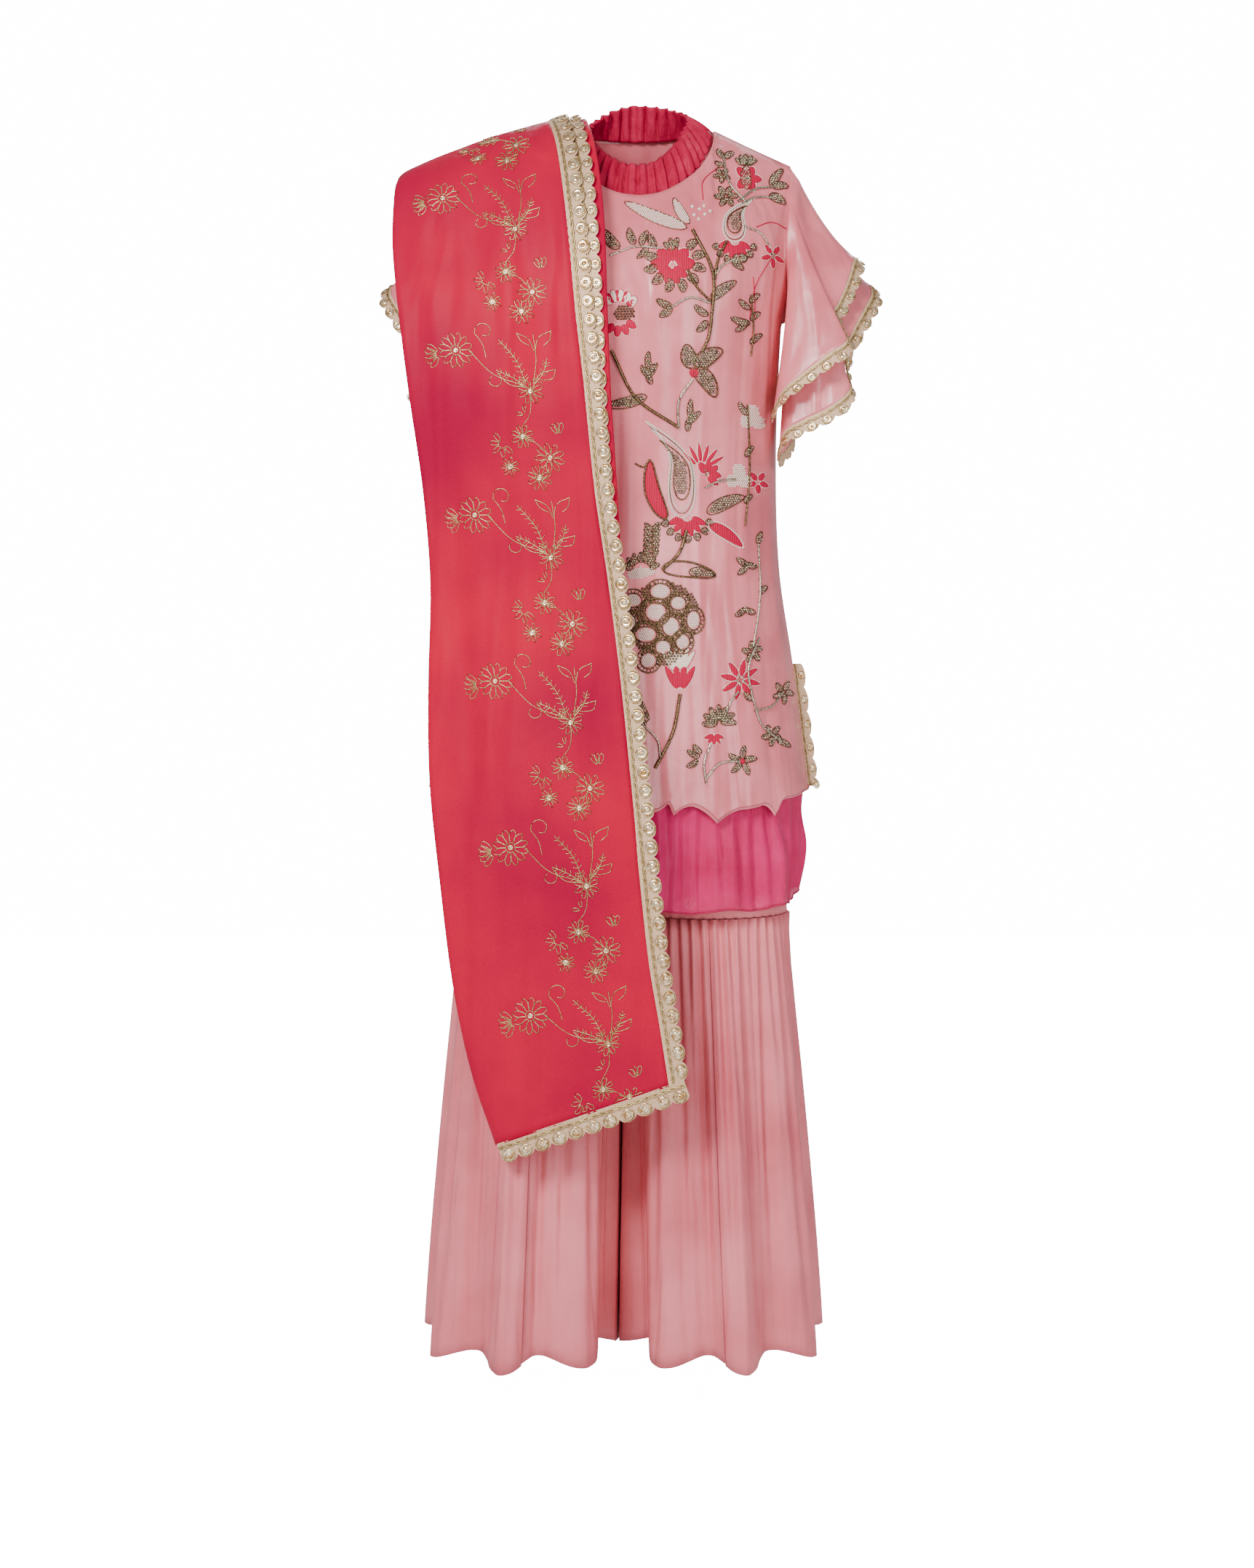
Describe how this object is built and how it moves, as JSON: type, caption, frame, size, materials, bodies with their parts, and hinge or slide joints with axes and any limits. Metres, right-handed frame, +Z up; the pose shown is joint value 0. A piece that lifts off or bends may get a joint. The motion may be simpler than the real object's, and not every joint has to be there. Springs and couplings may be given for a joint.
{
  "type": "sharara suit",
  "caption": "Hip-length flared tunic with pleated collar and flounced sleeves, wide gathered trousers and a folded stole over the right shoulder.",
  "frame": {"origin": "middle of the shoulders, level with the neck ends of the shoulder seams, where the wearer's shoulders carry the suit", "axes": "+X to the wearer's left, +Y to the back, +Z up"},
  "size_m": [0.5727, 0.4043, 1.4302],
  "materials": {
    "rose_satin": "satin",
    "raspberry_silk": "satin",
    "magenta_organza": "sheer",
    "coral_chiffon": "matt",
    "knee_embroidery": "embroidered",
    "crimson_silk": "satin",
    "gold_lace": "metallic thread"
  },
  "bodies": {
    "root": {"kurta_front": "rose_satin", "kurta_back": "rose_satin", "collar_frill": "raspberry_silk", "sleeve_left_upper": "rose_satin", "sleeve_left_lower": "rose_satin", "sleeve_right_upper": "rose_satin", "sleeve_right_lower": "rose_satin", "lace_sleeve_left_upper": "gold_lace", "lace_sleeve_left_lower": "gold_lace", "lace_sleeve_right_upper": "gold_lace", "lace_sleeve_right_lower": "gold_lace", "lace_slit_left": "gold_lace", "lace_slit_right": "gold_lace", "organza_frill_front": "magenta_organza", "organza_frill_back": "magenta_organza", "sharara_waistband": "coral_chiffon", "sharara_thigh_left": "coral_chiffon", "sharara_thigh_right": "coral_chiffon", "knee_band_left": "knee_embroidery", "knee_band_right": "knee_embroidery", "flare_left": "coral_chiffon", "flare_right": "coral_chiffon", "stole_front": "crimson_silk", "stole_shoulder": "crimson_silk", "stole_back": "crimson_silk", "lace_stole_outer_front": "gold_lace", "lace_stole_outer_back": "gold_lace", "lace_stole_under": "gold_lace", "lace_stole_hem_front": "gold_lace", "lace_stole_hem_back": "gold_lace"}
  },
  "joints": []
}
